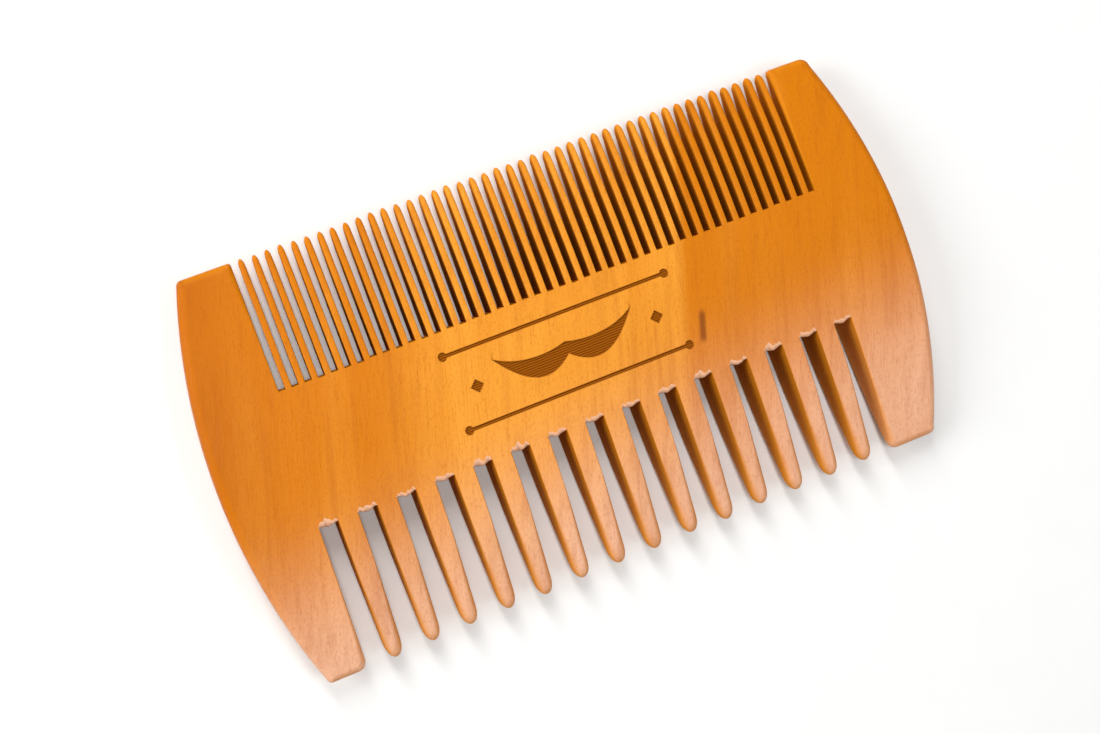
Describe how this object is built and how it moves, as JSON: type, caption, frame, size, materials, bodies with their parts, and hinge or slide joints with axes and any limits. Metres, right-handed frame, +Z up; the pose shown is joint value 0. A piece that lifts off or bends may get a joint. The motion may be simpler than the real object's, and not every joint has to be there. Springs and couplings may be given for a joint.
{
  "type": "beard comb",
  "caption": "Double-sided wooden beard comb with fine teeth along one edge, coarse teeth along the other, solid guards at both convex ends and a burnt emblem on the spine.",
  "frame": {"origin": "on the underside, at the middle of the comb's length and width", "axes": "+X along the comb, +Y towards the fine teeth, +Z up through the board's thickness"},
  "size_m": [0.1, 0.0554, 0.007],
  "materials": {
    "board_wood": "satin oiled pear wood",
    "coarse_wood": "satin oiled pear wood, paler towards the coarse tips"
  },
  "bodies": {
    "root": {"spine": "board_wood", "left_guard": "board_wood", "right_guard": "board_wood", "fine_tooth_01": "board_wood", "fine_tooth_02": "board_wood", "fine_tooth_03": "board_wood", "fine_tooth_04": "board_wood", "fine_tooth_05": "board_wood", "fine_tooth_06": "board_wood", "fine_tooth_07": "board_wood", "fine_tooth_08": "board_wood", "fine_tooth_09": "board_wood", "fine_tooth_10": "board_wood", "fine_tooth_11": "board_wood", "fine_tooth_12": "board_wood", "fine_tooth_13": "board_wood", "fine_tooth_14": "board_wood", "fine_tooth_15": "board_wood", "fine_tooth_16": "board_wood", "fine_tooth_17": "board_wood", "fine_tooth_18": "board_wood", "fine_tooth_19": "board_wood", "fine_tooth_20": "board_wood", "fine_tooth_21": "board_wood", "fine_tooth_22": "board_wood", "fine_tooth_23": "board_wood", "fine_tooth_24": "board_wood", "fine_tooth_25": "board_wood", "fine_tooth_26": "board_wood", "fine_tooth_27": "board_wood", "fine_tooth_28": "board_wood", "fine_tooth_29": "board_wood", "fine_tooth_30": "board_wood", "fine_tooth_31": "board_wood", "fine_tooth_32": "board_wood", "fine_tooth_33": "board_wood", "fine_tooth_34": "board_wood", "fine_tooth_35": "board_wood", "fine_tooth_36": "board_wood", "fine_tooth_37": "board_wood", "fine_tooth_38": "board_wood", "fine_tooth_39": "board_wood", "fine_tooth_40": "board_wood", "fine_tooth_41": "board_wood", "fine_tooth_42": "board_wood", "fine_tooth_43": "board_wood", "coarse_tooth_01": "coarse_wood", "coarse_tooth_02": "coarse_wood", "coarse_tooth_03": "coarse_wood", "coarse_tooth_04": "coarse_wood", "coarse_tooth_05": "coarse_wood", "coarse_tooth_06": "coarse_wood", "coarse_tooth_07": "coarse_wood", "coarse_tooth_08": "coarse_wood", "coarse_tooth_09": "coarse_wood", "coarse_tooth_10": "coarse_wood", "coarse_tooth_11": "coarse_wood", "coarse_tooth_12": "coarse_wood", "coarse_tooth_13": "coarse_wood", "coarse_tooth_14": "coarse_wood"}
  },
  "joints": []
}
